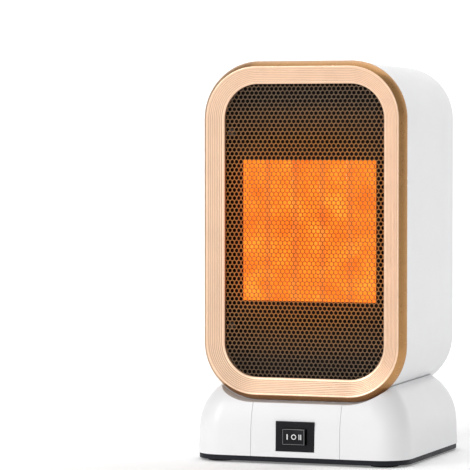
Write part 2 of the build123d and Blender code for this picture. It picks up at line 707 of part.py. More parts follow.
with BuildPart() as motor_end_cap:
    with BuildSketch(facing(CAN_BACK)):
        Circle(CAN_R)
        Circle(BUSH_R + FIT, mode=Mode.SUBTRACT)
    extrude(amount=-(MOTOR_BACK - CAN_BACK))
motor_end_cap.part.label = "motor_end_cap"
export_step(motor_end_cap.part, "parts/motor_end_cap.step")

with BuildPart() as motor_bushes:
    for bush_front in (SPIDER_BACK - 1.0, CAN_BACK - 0.6):
        with BuildSketch(facing(bush_front)):
            Circle(BUSH_R)
            Circle(SHAFT_R + FIT, mode=Mode.SUBTRACT)
        extrude(amount=-BUSH_LENGTH)
motor_bushes.part.label = "motor_bushes"
export_step(motor_bushes.part, "parts/motor_bushes.step")

with BuildPart() as motor_magnets:
    with BuildSketch(facing(ROTOR_FRONT - 0.5)):
        Circle(MAGNET_R)
        Circle(MAGNET_R - MAGNET_WALL, mode=Mode.SUBTRACT)
        Rectangle(2 * CAN_R, MAGNET_SPLIT, mode=Mode.SUBTRACT)
    extrude(amount=-(ROTOR_BACK - ROTOR_FRONT + 1.0))
motor_magnets.part.label = "motor_magnets"
export_step(motor_magnets.part, "parts/motor_magnets.step")

with BuildPart() as motor_rotor:
    with BuildSketch(facing(ROTOR_FRONT)):
        Circle(ROTOR_R)
        Circle(SHAFT_R, mode=Mode.SUBTRACT)
        with PolarLocations(ROTOR_R, POLES):
            Rectangle(*POLE_SLOT, mode=Mode.SUBTRACT)
    extrude(amount=-(ROTOR_BACK - ROTOR_FRONT))
motor_rotor.part.label = "motor_rotor"
export_step(motor_rotor.part, "parts/motor_rotor.step")

with BuildPart() as motor_shaft:
    with BuildSketch(facing(HUB_FRONT + 3.0)):
        Circle(SHAFT_R)
    extrude(amount=-(MOTOR_BACK - 0.2 - HUB_FRONT - 3.0))
motor_shaft.part.label = "motor_shaft"
export_step(motor_shaft.part, "parts/motor_shaft.step")

with BuildPart() as motor_screws:
    with BuildSketch(facing(SPIDER_FRONT)):
        with Locations(*MOTOR_SCREWS):
            Circle(SCREW_R)
    extrude(amount=-MOTOR_SCREW_LENGTH)
    with BuildSketch(facing(SPIDER_FRONT)):
        with Locations(*MOTOR_SCREWS):
            Circle(HEAD_R)
    extrude(amount=HEAD_HEIGHT)
motor_screws.part.label = "motor_screws"
export_step(motor_screws.part, "parts/motor_screws.step")


# --- Fan impeller: a cupped hub with twisted blades
def blade_plane(radius, pitch):
    """Plane across the blade at a radius, its x along the chord, pitched from the fan's axis."""
    chord = (0, cos(radians(pitch)), sin(radians(pitch)))
    return Plane(origin=(radius, FACE_Y + (HUB_FRONT + HUB_BACK) / 2, BODY_Z), x_dir=chord, z_dir=(1, 0, 0))


# Radius, pitch from the axis in degrees, chord and thickness
BLADE_SECTIONS = [
    (HUB_R - 1.4, 35, 17.0, 1.8),
    ((HUB_R + FAN_TIP) / 2, 52, 22.0, 1.6),
    (FAN_TIP - 1.0, 62, 26.0, 1.4),
]
HUB_WALL = 1.8
HUB_CORE = 4.0
HUB_FACE = 2.0

with BuildPart() as blade:
    for blade_radius, blade_pitch, blade_chord, blade_sheet in BLADE_SECTIONS:
        with BuildSketch(blade_plane(blade_radius, blade_pitch)):
            SlotOverall(blade_chord, blade_sheet)
    loft()

with BuildPart() as fan_impeller:
    with BuildSketch(facing(HUB_FRONT)):
        Circle(HUB_R)
    extrude(amount=-(HUB_BACK - HUB_FRONT))
    fillet(fan_impeller.faces().sort_by(Axis.Y)[0].edges(), 3.0)
    with BuildSketch(facing(HUB_FRONT + HUB_FACE)):
        Circle(HUB_R - HUB_WALL)
        Circle(HUB_CORE, mode=Mode.SUBTRACT)
    extrude(amount=-(HUB_BACK - HUB_FRONT), mode=Mode.SUBTRACT)
    for turn in range(BLADES):
        add(blade.part.rotate(Axis((0, 0, BODY_Z), (0, 1, 0)), turn * 360 / BLADES))
    with BuildSketch(facing(HUB_FRONT + HUB_FACE)):
        Circle(HUB_R - HUB_WALL)
        Circle(HUB_CORE, mode=Mode.SUBTRACT)
    extrude(amount=-(HUB_BACK - HUB_FRONT), mode=Mode.SUBTRACT)
    with BuildSketch(facing(HUB_FRONT + 3.0)):
        Circle(SHAFT_R)
    extrude(amount=-(HUB_BACK - HUB_FRONT), mode=Mode.SUBTRACT)
fan_impeller.part.label = "fan_impeller"
export_step(fan_impeller.part, "parts/fan_impeller.step")

# --- Base: the dome with a saddle that the body sits in, split by two seams about a front panel
SADDLE_GAP = 0.5
SEAM_BACK = BASE_FRONT + 9.0
SEAM_SPACE = 60.0
BEYOND = 5.0
SECTION_HEIGHTS = (PLATE_TOP, 12.0, 20.0, 27.0, 33.0, 38.5, 43.0, 46.5, 49.5, 51.4)


def body_space(outwards):
    """The body's shape grown outwards, run on forwards past the front of the base."""
    with BuildPart() as space:
        with BuildSketch(facing(TRIM_EDGE + 0.3)):
            RectangleRounded(
                BODY_WIDTH + 2 * outwards, BODY_HEIGHT + 2 * outwards, BODY_CORNER + outwards
            )
        extrude(amount=40.0)
        with BuildSketch(facing(TRIM_EDGE + 0.3)):
            sleeve_outline(TRIM_EDGE + 0.3, -outwards)
        with BuildSketch(facing(SLEEVE_REAR + 20.0)):
            sleeve_outline(SLEEVE_REAR + 20.0, -outwards)
        loft()
    return space.part


def switch_plane(y):
    """Plane across the switch at a place in Y: x right, y up, normal to the front."""
    return Plane(origin=(0, y, SWITCH_Z), x_dir=(1, 0, 0), z_dir=(0, -1, 0))


with BuildPart() as base_cavity:
    for height in SECTION_HEIGHTS:
        with BuildSketch(Plane.XY.offset(height)):
            base_outline(dome_inset(height) + WALL)
    loft()
    add(body_space(SADDLE_GAP + WALL), mode=Mode.SUBTRACT)

with BuildPart() as base_solid:
    for height in SECTION_HEIGHTS:
        with BuildSketch(Plane.XY.offset(height)):
            base_outline(dome_inset(height))
    loft()
    add(body_space(SADDLE_GAP), mode=Mode.SUBTRACT)
    add(base_cavity.part, mode=Mode.SUBTRACT)

with BuildPart() as base_shell:
    add(base_solid.part)
    with BuildSketch(Plane.XY):
        with Locations((0, (BASE_FRONT - BEYOND + SEAM_BACK) / 2)):
            Rectangle(2 * SEAM_X + 2 * SEAM_GAP, SEAM_BACK - BASE_FRONT + BEYOND)
    extrude(amount=SEAM_SPACE, mode=Mode.SUBTRACT)
    with BuildSketch(Plane.XY.offset(PLATE_TOP)):
        with Locations(*BASE_POSTS):
            Circle(BASE_POST_R)
    extrude(amount=sleeve_floor(SLEEVE_REAR) + 0.3 - PLATE_TOP)
    with BuildSketch(Plane.XY.offset(PLATE_TOP)):
        with Locations(*BASE_POSTS):
            Circle(BASE_SCREW_R + 0.05)
    extrude(amount=BASE_SCREW_LENGTH, mode=Mode.SUBTRACT)
    with BuildSketch(Plane.XY.offset(30.0)):
        with Locations(*NECK_SCREWS):
            Circle(SCREW_CLEAR)
        with Locations(WIRE_HOLE):
            Circle(WIRE_HOLE_R)
    extrude(amount=15.0, mode=Mode.SUBTRACT)
    with BuildSketch(Plane(origin=(0, BASE_REAR + 1.0, GLAND_Z), x_dir=(1, 0, 0), z_dir=(0, -1, 0))):
        Circle(GLAND_NECK + FIT)
    extrude(amount=8.0, mode=Mode.SUBTRACT)
base_shell.part.label = "base_shell"
export_step(base_shell.part, "parts/base_shell.step")

with BuildPart() as switch_panel:
    add(base_solid.part)
    with BuildSketch(Plane.XY):
        with Locations((0, (BASE_FRONT - BEYOND + SEAM_BACK - SEAM_GAP) / 2)):
            Rectangle(2 * SEAM_X - 2 * SEAM_GAP, SEAM_BACK - SEAM_GAP - BASE_FRONT + BEYOND)
    extrude(amount=SEAM_SPACE, mode=Mode.INTERSECT)
    with BuildSketch(switch_plane(BASE_FRONT - BEYOND)):
        Rectangle(BEZEL_WIDTH + BEZEL_GAP, BEZEL_HEIGHT + BEZEL_GAP)
    extrude(amount=-(BEZEL_BACK - BASE_FRONT + BEYOND), mode=Mode.SUBTRACT)
    with BuildSketch(switch_plane(BEZEL_FRONT)):
        Rectangle(BOX_SIZE[0] + 0.2, BOX_SIZE[1] + 0.2)
    extrude(amount=-(BOX_BACK - BEZEL_FRONT), mode=Mode.SUBTRACT)
switch_panel.part.label = "switch_panel"
export_step(switch_panel.part, "parts/switch_panel.step")

# --- Rocker switch: a bezel with its box behind, a rocker on two pins, and blade terminals
with BuildPart() as switch_body:
    with BuildSketch(switch_plane(BEZEL_FRONT)):
        Rectangle(BEZEL_WIDTH, BEZEL_HEIGHT)
    extrude(amount=-(BEZEL_BACK - BEZEL_FRONT))
    chamfer(switch_body.faces().sort_by(Axis.Y)[0].edges(), 0.4)
    with BuildSketch(switch_plane(BEZEL_BACK)):
        Rectangle(*BOX_SIZE)
    extrude(amount=-(BOX_BACK - BEZEL_BACK))
    with BuildSketch(switch_plane(BEZEL_FRONT)):
        Rectangle(*SWITCH_OPENING)
    extrude(amount=-(BOX_BACK - BEZEL_FRONT - 2.0), mode=Mode.SUBTRACT)
    with BuildSketch(Plane.XY.offset(SWITCH_Z)):
        with Locations((0, PIVOT_Y)):
            Circle(PIN_R + FIT)
    extrude(amount=PIN_REACH + 0.2, both=True, mode=Mode.SUBTRACT)
switch_body.part.label = "switch_body"
export_step(switch_body.part, "parts/switch_body.step")

ROCKER_FRONT = BASE_FRONT - SWITCH_PROUD
ROCKER_DISH = 0.9
ROCKER_WAIST = 6.6
ROCKER_KEEL = 4.6
ROCKER_DEPTH = 5.0
with BuildPart() as switch_rocker:
    with BuildSketch(Plane.XY.offset(SWITCH_Z)):
        with BuildLine():
            rocker_face = ThreePointArc(
                (-ROCKER_SIZE[0] / 2, ROCKER_FRONT),
                (0, ROCKER_FRONT + ROCKER_DISH),
                (ROCKER_SIZE[0] / 2, ROCKER_FRONT),
            )
            Polyline(
                rocker_face @ 1,
                (ROCKER_WAIST, PIVOT_Y),
                (ROCKER_KEEL, PIVOT_Y + ROCKER_DEPTH),
                (-ROCKER_KEEL, PIVOT_Y + ROCKER_DEPTH),
                (-ROCKER_WAIST, PIVOT_Y),
                rocker_face @ 0,
            )
        make_face()
    extrude(amount=ROCKER_SIZE[1] / 2, both=True)
    with BuildSketch(Plane.XY.offset(SWITCH_Z)):
        with Locations((0, PIVOT_Y)):
            Circle(PIN_R)
    extrude(amount=PIN_REACH, both=True)
switch_rocker.part.label = "switch_rocker"
export_step(switch_rocker.part, "parts/switch_rocker.step")

with BuildPart() as switch_terminals:
    with BuildSketch(switch_plane(BOX_BACK)):
        with Locations((-6.5, 0), (0, 0), (6.5, 0)):
            Rectangle(*BLADE)
    extrude(amount=-BLADE_LENGTH)
switch_terminals.part.label = "switch_terminals"
export_step(switch_terminals.part, "parts/switch_terminals.step")

# --- Base plate with posts for the board, and the four feet
BOARD_POSTS = [(-48.0, -8.0), (-12.0, -8.0), (-48.0, 18.0), (-12.0, 18.0)]
BOARD_Z = 12.0
with BuildPart() as base_plate:
    with BuildSketch(Plane.XY.offset(FOOT_HEIGHT)):
        base_outline(0.5)
    extrude(amount=PLATE_TOP - FOOT_HEIGHT)
    with BuildSketch(Plane.XY.offset(PLATE_TOP)):
        with Locations(*BOARD_POSTS):
            Circle(3.0)
    extrude(amount=BOARD_Z - PLATE_TOP)
    with BuildSketch(Plane.XY.offset(BOARD_Z)):
        with Locations(*BOARD_POSTS):
            Circle(SCREW_HOLE)
    extrude(amount=-5.0, mode=Mode.SUBTRACT)
    with BuildSketch(Plane.XY.offset(FOOT_HEIGHT)):
        with Locations(*FEET.values()):
            Circle(FOOT_STEM_R + FIT)
        with Locations(*BASE_POSTS):
            Circle(1.8)
        with Locations(PLUNGER):
            Circle(PLUNGER_R + 0.2)
    extrude(amount=PLATE_TOP - FOOT_HEIGHT, mode=Mode.SUBTRACT)
    with BuildSketch(Plane.XY.offset(FOOT_HEIGHT)):
        with Locations(*BASE_POSTS):
            Circle(3.4)
    extrude(amount=2.0, mode=Mode.SUBTRACT)
base_plate.part.label = "base_plate"
export_step(base_plate.part, "parts/base_plate.step")

for foot_name, foot_at in FEET.items():
    with BuildPart() as foot:
        with BuildSketch(Plane.XY):
            with Locations(foot_at):
                Circle(FOOT_R)
        extrude(amount=FOOT_HEIGHT)
        fillet(foot.faces().sort_by(Axis.Z)[0].edges(), 0.5)
        with BuildSketch(Plane.XY.offset(FOOT_HEIGHT)):
            with Locations(foot_at):
                Circle(FOOT_STEM_R)
        extrude(amount=PLATE_TOP - FOOT_HEIGHT)
        with BuildSketch(Plane.XY.offset(PLATE_TOP)):
            with Locations(foot_at):
                Circle(FOOT_BUTTON_R)
        extrude(amount=FOOT_BUTTON)
    foot.part.label = foot_name
    export_step(foot.part, f"parts/{foot_name}.step")

with BuildPart() as base_screws:
    with BuildSketch(Plane.XY.offset(FOOT_HEIGHT + 0.2)):
        with Locations(*BASE_POSTS):
            Circle(BASE_HEAD_R)
    extrude(amount=BASE_HEAD_HEIGHT)
    with BuildSketch(Plane.XY.offset(FOOT_HEIGHT + 2.0)):
        with Locations(*BASE_POSTS):
            Circle(BASE_SCREW_R)
    extrude(amount=BASE_SCREW_LENGTH)
base_screws.part.label = "base_screws"
export_step(base_screws.part, "parts/base_screws.step")

with BuildPart() as neck_screws:
    for neck_x, neck_y in NECK_SCREWS:
        head_top = sleeve_floor(neck_y - FACE_Y) - SADDLE_GAP - WALL - 0.3
        with BuildSketch(Plane.XY.offset(head_top)):
            with Locations((neck_x, neck_y)):
                Circle(HEAD_R)
        extrude(amount=-HEAD_HEIGHT)
        with BuildSketch(Plane.XY.offset(head_top)):
            with Locations((neck_x, neck_y)):
                Circle(SCREW_R)
        extrude(amount=NECK_SCREW_LENGTH)
neck_screws.part.label = "neck_screws"
export_step(neck_screws.part, "parts/neck_screws.step")

# --- Rubber grommet where the wires pass from base to body
GROMMET_FLANGE = 1.6
GROMMET_NECK = 7.5
GROMMET_TOP = sleeve_floor(WIRE_HOLE[1] - FACE_Y) - SADDLE_GAP - WALL - 0.3
with BuildPart() as wire_grommet:
    with BuildSketch(Plane.XY.offset(GROMMET_TOP)):
        with Locations(WIRE_HOLE):
            Circle(WIRE_HOLE_R + 2.0)
    extrude(amount=-GROMMET_FLANGE)
    with BuildSketch(Plane.XY.offset(GROMMET_TOP)):
        with Locations(WIRE_HOLE):
            Circle(WIRE_HOLE_R - 0.2)
    extrude(amount=GROMMET_NECK)
    with BuildSketch(Plane.XY.offset(GROMMET_TOP - GROMMET_FLANGE)):
        with Locations(WIRE_HOLE):
            Circle(WIRE_HOLE_R - 2.4)
    extrude(amount=GROMMET_FLANGE + GROMMET_NECK, mode=Mode.SUBTRACT)
wire_grommet.part.label = "wire_grommet"
export_step(wire_grommet.part, "parts/wire_grommet.step")

# --- Cord gland in the rear of the base: flange outside, clip inside, with a bore for the mains cord
with BuildPart() as cord_gland:
    with BuildSketch(Plane(origin=(0, 0, GLAND_Z), x_dir=(0, 1, 0), z_dir=(1, 0, 0))):
        with BuildLine():
            Polyline(
                (BASE_REAR - 9.0, GLAND_BORE),
                (BASE_REAR - 9.0, 6.8),
                (BASE_REAR - 3.4, 7.4),
                (BASE_REAR - 3.4, GLAND_NECK),
                (BASE_REAR, GLAND_NECK),
                (BASE_REAR, 8.6),
                (BASE_REAR + 1.8, 8.6),
                (BASE_REAR + 2.2, 6.2),
                (BASE_REAR + GLAND_PROUD, 5.2),
                (BASE_REAR + GLAND_PROUD, GLAND_BORE),
                close=True,
            )
        make_face()
    revolve(axis=Axis((0, 0, GLAND_Z), (0, 1, 0)))
cord_gland.part.label = "cord_gland"
export_step(cord_gland.part, "parts/cord_gland.step")

# --- Inside the base: terminal block, control board with its parts, and their screws
BLOCK_SIZE = (34.0, 16.0, 13.0)
BLOCK_Y = 46.0
CLAMPS = [(-11.0, BLOCK_Y), (0, BLOCK_Y), (11.0, BLOCK_Y)]
BOARD_SHEET = 1.6
BOARD_TOP = BOARD_Z + BOARD_SHEET
BOARD_SIZE = (46.0, 36.0)
BOARD_CENTRE = (-30.0, 5.0)

with BuildPart() as terminal_block:
    with BuildSketch(Plane.XY.offset(PLATE_TOP)):
        with Locations((0, BLOCK_Y)):
            Rectangle(BLOCK_SIZE[0], BLOCK_SIZE[1])
    extrude(amount=BLOCK_SIZE[2])
    with BuildSketch(Plane.XY.offset(PLATE_TOP + BLOCK_SIZE[2])):
        with Locations(*CLAMPS):
            Circle(2.6)
    extrude(amount=-4.0, mode=Mode.SUBTRACT)
terminal_block.part.label = "terminal_block"
export_step(terminal_block.part, "parts/terminal_block.step")

with BuildPart() as control_board:
    with BuildSketch(Plane.XY.offset(BOARD_Z)):
        with Locations(BOARD_CENTRE):
            Rectangle(*BOARD_SIZE)
        with Locations(*BOARD_POSTS):
            Circle(SCREW_CLEAR, mode=Mode.SUBTRACT)
    extrude(amount=BOARD_SHEET)
control_board.part.label = "control_board"
export_step(control_board.part, "parts/control_board.step")

with BuildPart() as board_parts:
    with BuildSketch(Plane.XY.offset(BOARD_TOP)):
        with Locations((-38.0, 10.0)):
            Rectangle(12.0, 15.0)
    extrude(amount=9.0)
    with BuildSketch(Plane.XY.offset(BOARD_TOP)):
        with Locations((-22.0, 9.0)):
            Circle(5.0)
    extrude(amount=12.0)
    with BuildSketch(Plane.XY.offset(BOARD_TOP)):
        with Locations((-30.0, -6.0)):
            Rectangle(16.0, 6.0)
    extrude(amount=6.0)
board_parts.part.label = "board_parts"
export_step(board_parts.part, "parts/board_parts.step")

with BuildPart() as board_screws:
    with BuildSketch(Plane.XY.offset(BOARD_TOP)):
        with Locations(*BOARD_POSTS):
            Circle(HEAD_R)
    extrude(amount=HEAD_HEIGHT)
    with BuildSketch(Plane.XY.offset(BOARD_TOP)):
        with Locations(*BOARD_POSTS):
            Circle(SCREW_R)
    extrude(amount=-BOARD_SCREW_LENGTH)
board_screws.part.label = "board_screws"
export_step(board_screws.part, "parts/board_screws.step")

# --- Tip-over switch: its plunger stands on the floor and drops when the heater is lifted
TIP_TOP = 19.0
COLLAR_Z = 9.0
COLLAR_HEIGHT = 1.5
COLLAR_R = 4.3
TIP_HOUSING = (20.0, 13.0)
CAVITY_TOP = 17.0
SPRING_R = 3.4
with BuildPart() as tip_switch_body:
    with BuildSketch(Plane.XY.offset(PLATE_TOP)):
        with Locations(PLUNGER):
            Rectangle(*TIP_HOUSING)
    extrude(amount=TIP_TOP - PLATE_TOP)
    with BuildSketch(Plane.XY.offset(PLATE_TOP)):
        with Locations(PLUNGER):
            Circle(COLLAR_R + 0.4)
    extrude(amount=CAVITY_TOP - PLATE_TOP, mode=Mode.SUBTRACT)
    with BuildSketch(Plane.XY.offset(TIP_TOP)):
        with Locations((PLUNGER[0] - 7.0, PLUNGER[1]), (PLUNGER[0] + 7.0, PLUNGER[1])):
            Rectangle(*BLADE)
    extrude(amount=BLADE_LENGTH - 1.0)
tip_switch_body.part.label = "tip_switch_body"
export_step(tip_switch_body.part, "parts/tip_switch_body.step")

with BuildPart() as tip_plunger:
    with BuildSketch(Plane.XY):
        with Locations(PLUNGER):
            Circle(PLUNGER_R)
    extrude(amount=COLLAR_Z)
    fillet(tip_plunger.faces().sort_by(Axis.Z)[0].edges(), 0.8)
    with BuildSketch(Plane.XY.offset(COLLAR_Z)):
        with Locations(PLUNGER):
            Circle(COLLAR_R)
    extrude(amount=COLLAR_HEIGHT)
    with BuildSketch(Plane.XY.offset(COLLAR_Z + COLLAR_HEIGHT)):
        with Locations(PLUNGER):
            Circle(SPRING_R - 1.0)
    extrude(amount=3.0)
tip_plunger.part.label = "tip_plunger"
export_step(tip_plunger.part, "parts/tip_plunger.step")

SPRING_WIRE = 0.3
SPRING_BOTTOM = COLLAR_Z + COLLAR_HEIGHT + SPRING_WIRE + 0.05
SPRING_HEIGHT = CAVITY_TOP - SPRING_WIRE - 0.05 - SPRING_BOTTOM
with BuildPart() as tip_spring:
    with BuildLine(Plane(origin=(*PLUNGER, SPRING_BOTTOM))) as spring_path:
        Helix(pitch=SPRING_HEIGHT / 4, height=SPRING_HEIGHT, radius=SPRING_R)
    with BuildSketch(Plane(origin=spring_path.line @ 0, z_dir=spring_path.line % 0)):
        Circle(SPRING_WIRE)
    sweep(path=spring_path.line, is_frenet=True)
tip_spring.part.label = "tip_spring"
export_step(tip_spring.part, "parts/tip_spring.step")
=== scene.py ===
"""The looks of a small ceramic space heater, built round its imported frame. Metres, +Z up, front to -Y."""
from math import cos, hypot, pi, radians, sin, sqrt

import bmesh
import bpy
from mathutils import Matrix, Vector


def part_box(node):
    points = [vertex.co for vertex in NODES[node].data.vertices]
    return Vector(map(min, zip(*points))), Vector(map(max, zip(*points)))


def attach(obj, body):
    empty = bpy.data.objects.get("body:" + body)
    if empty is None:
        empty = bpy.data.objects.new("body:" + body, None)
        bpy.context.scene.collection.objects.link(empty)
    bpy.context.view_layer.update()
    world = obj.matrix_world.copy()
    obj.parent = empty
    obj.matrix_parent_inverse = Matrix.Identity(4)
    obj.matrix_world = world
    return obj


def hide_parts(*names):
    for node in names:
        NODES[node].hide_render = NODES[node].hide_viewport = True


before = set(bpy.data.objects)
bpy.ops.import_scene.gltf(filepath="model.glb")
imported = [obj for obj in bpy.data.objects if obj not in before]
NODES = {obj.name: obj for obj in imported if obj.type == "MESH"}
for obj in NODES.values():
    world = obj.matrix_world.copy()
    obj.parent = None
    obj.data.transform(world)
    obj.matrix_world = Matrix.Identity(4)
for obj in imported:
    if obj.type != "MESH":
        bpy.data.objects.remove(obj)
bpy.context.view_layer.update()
MM = 0.001

# Camera: where it looks from and the point in the middle of its picture
VIEW_AZIMUTH = 20.5
VIEW_ELEVATION = 2.0
VIEW_DISTANCE = 1.867
VIEW_LENS = 226.5
SENSOR_WIDTH = 36.0
NEAREST_SEEN = 0.05
VIEW_AIM = (-0.044, -0.0583, 0.1428)

# Honeycomb of the front mesh
HEX_PITCH = 2.95 * MM
HEX_STRAND = 0.5 * MM
HEX_CROWN = 0.2 * MM
HEX_REACH = 1.6 * MM
HEX_BORDER = 3.1 * MM
GLOW_FADE = 40 * MM

# Folded fins of the heater blocks
FIN_FOLD = 1.0 * MM
FIN_FLAT = 0.3
FIN_MARGIN = 2 * MM
FIN_SHEET = 0.2 * MM
FIN_SLOPE = 0.6 * MM
FIN_BLOCKS = 5
BAR_WIDTH = 3.2 * MM

# Front trim's section, outwards from its opening and back from its face
TRIM_BAND = 14.5 * MM
TRIM_CORNER = 22.0 * MM
TRIM_FACE = 10.7 * MM
TRIM_RECESS = 5.0 * MM
TRIM_EDGE = 7.5 * MM
GROOVES = 8
GROOVE_PITCH = 1.05 * MM
GROOVE_START = 1.2 * MM
GROOVE_DEPTH = 0.17 * MM
GROOVE_STEPS = 8
# Painted shade: the steps at each groove's bottom take a darker copy of the plating
GROOVE_SHADE_STEPS = (3, 4)
MESH_FRONT = 6.9 * MM
MESH_BACK = 8.1 * MM
MESH_LEDGE = 3.4 * MM
SKIRT_BACK = 13.0 * MM
SKIRT_INNER = 9.4 * MM
SKIRT_OUTER = 11.2 * MM
CORNER_STEPS = 24
BEVEL_STEPS = 8
BEVEL_BULGE = 0.35 * MM
BEVEL_START = (TRIM_FACE + 0.4 * MM, 0.75 * MM)
BEVEL_END = (TRIM_BAND - 0.15 * MM, TRIM_EDGE - 0.7 * MM)
SMOOTH_UP_TO = 32

# Rounding between the trim's opening and its face: how far out, and how far behind the face's slope
INNER_ROUND = ((0.0, 0.3 * MM), (0.12 * MM, 0.05 * MM), (0.35 * MM, 0.0))
# Rounding between its face and its bevel: how far out, and how far behind the front
OUTER_ROUND = (
    (TRIM_FACE - 0.5 * MM, TRIM_RECESS * 0.5 * MM / TRIM_FACE),
    (TRIM_FACE - 0.2 * MM, TRIM_RECESS * 0.25 * MM / TRIM_FACE),
    (TRIM_FACE + 0.12 * MM, 0.22 * MM),
)

# Softened edges of the switch
ROUND_STEPS = 3
ROUND_OVER = 35
BEZEL_ROUND = 0.25 * MM
ROCKER_ROUND = 0.5 * MM

# Marks on the rocker
MARK_OFFSET = 4.2 * MM
MARK_HEIGHT = 3.3 * MM
MARK_STROKE = 0.62 * MM
RING_STROKE = 0.5 * MM
MARK_SPACING = 0.62 * MM
MARK_PROUD = 0.06 * MM
MARK_SUNK = 0.3 * MM
ROCKER_DISH = 0.9 * MM

# Studio sweep: floor, bend and backdrop
FLOOR_HALF = 6.0
FLOOR_REACH = 4.0
BACKDROP_Y = 2.6
BACKDROP_BEND = 0.8
BACKDROP_TOP = 4.0
BEND_STEP = 6

WHITE = (0.82, 0.82, 0.83)
ROSE_GOLD = (0.94, 0.66, 0.47)
# Painted shade: the bevel's plating is this darker copy of the rose gold, standing for the darker reflection
# it shows
BEVEL_SHADE_TONE = (0.49, 0.262, 0.105)
# Colour of the painted glow on the mesh
GLOW = (1.0, 0.27, 0.03)
WORLD_STRENGTH = 0.42


# --- Materials
class Shader:
    """A material with its shader, and short calls for the nodes that these surfaces need."""

    def __init__(self, name):
        self.material = bpy.data.materials.new(name)
        self.material.use_nodes = True
        self.nodes = self.material.node_tree.nodes
        self.links = self.material.node_tree.links
        self.surface = self.nodes["Principled BSDF"]
        self.place = self.nodes.new("ShaderNodeTexCoord").outputs["Object"]

    def set(self, **sockets):
        for socket, value in sockets.items():
            self.surface.inputs[socket.replace("_", " ")].default_value = value

    def join(self, output, socket):
        self.links.new(output, self.surface.inputs[socket])

    def noise(self, scale, detail=3.0, stretch=(1.0, 1.0, 1.0)):
        mapping = self.nodes.new("ShaderNodeMapping")
        mapping.inputs["Scale"].default_value = stretch
        self.links.new(self.place, mapping.inputs["Vector"])
        noise = self.nodes.new("ShaderNodeTexNoise")
        noise.inputs["Scale"].default_value = scale
        noise.inputs["Detail"].default_value = detail
        self.links.new(mapping.outputs["Vector"], noise.inputs["Vector"])
        return noise.outputs["Fac"]

    def spread(self, value, low, high, from_low=0.3, from_high=0.7):
        ranged = self.nodes.new("ShaderNodeMapRange")
        ranged.inputs["From Min"].default_value = from_low
        ranged.inputs["From Max"].default_value = from_high
        ranged.inputs["To Min"].default_value = low
        ranged.inputs["To Max"].default_value = high
        self.links.new(value, ranged.inputs["Value"])
        return ranged.outputs["Result"]

    def colours(self, value, *stops):
        ramp = self.nodes.new("ShaderNodeValToRGB")
        points = ramp.color_ramp.elements
        while len(points) < len(stops):
            points.new(0.5)
        for point, (at, colour) in zip(points, stops):
            point.position = at
            point.color = (*colour, 1.0)
        self.links.new(value, ramp.inputs["Fac"])
        return ramp.outputs["Color"]

    def bump(self, height, strength, distance):
        bump = self.nodes.new("ShaderNodeBump")
        bump.inputs["Strength"].default_value = strength
        bump.inputs["Distance"].default_value = distance
        self.links.new(height, bump.inputs["Height"])
        self.join(bump.outputs["Normal"], "Normal")


def shade(colour, factor):
    return tuple(min(channel * factor, 1.0) for channel in colour)


def moulded(name, colour, roughness, grain_mm=0.5, grain=0.2, mottle=0.03, coat=0.0, specular=0.5):
    """A moulded or painted surface: faint mottling, uneven gloss and a fine grain."""
    shader = Shader(name)
    shader.set(Coat_Weight=coat, Coat_Roughness=0.12, Specular_IOR_Level=specular)
    tone = shader.colours(
        shader.noise(45.0), (0.3, shade(colour, 1 - mottle)), (0.7, shade(colour, 1 + mottle))
    )
    shader.join(tone, "Base Color")
    shader.join(shader.spread(shader.noise(160.0), roughness * 0.85, roughness * 1.15), "Roughness")
    shader.bump(shader.noise(1.0 / (grain_mm * MM), 2.0), grain, 0.01 * MM)
    return shader.material


def plated(name, colour, roughness):
    """Plated satin metal with small differences in tone and gloss."""
    shader = Shader(name)
    shader.set(Metallic=1.0)
    tone = shader.colours(shader.noise(60.0), (0.3, shade(colour, 0.96)), (0.7, shade(colour, 1.03)))
    shader.join(tone, "Base Color")
    shader.join(shader.spread(shader.noise(300.0, 4.0), roughness * 0.85, roughness * 1.15), "Roughness")
    shader.bump(shader.noise(2600.0, 2.0), 0.2, 0.006 * MM)
    return shader.material


def painted_glow_mask(shader, centre, half_width, half_height, soft):
    """Mask of the painted glow: 1 inside the heater's outline seen from the front, falling to 0 over a soft
    edge.
    """
    split = shader.nodes.new("ShaderNodeSeparateXYZ")
    shader.links.new(shader.place, split.inputs["Vector"])
    edges = []
    for axis, middle, half in (("X", centre.x, half_width), ("Z", centre.z, half_height)):
        shift = shader.nodes.new("ShaderNodeMath")
        shift.operation = "SUBTRACT"
        shift.inputs[1].default_value = middle
        shader.links.new(split.outputs[axis], shift.inputs[0])
        size = shader.nodes.new("ShaderNodeMath")
        size.operation = "ABSOLUTE"
        shader.links.new(shift.outputs[0], size.inputs[0])
        edge = shader.nodes.new("ShaderNodeMapRange")
        edge.interpolation_type = "SMOOTHSTEP"
        edge.inputs["From Min"].default_value = half + soft
        edge.inputs["From Max"].default_value = half - soft
        shader.links.new(size.outputs[0], edge.inputs["Value"])
        edges.append(edge.outputs["Result"])
    both = shader.nodes.new("ShaderNodeMath")
    both.operation = "MULTIPLY"
    shader.links.new(edges[0], both.inputs[0])
    shader.links.new(edges[1], both.inputs[1])
    return both.outputs[0]


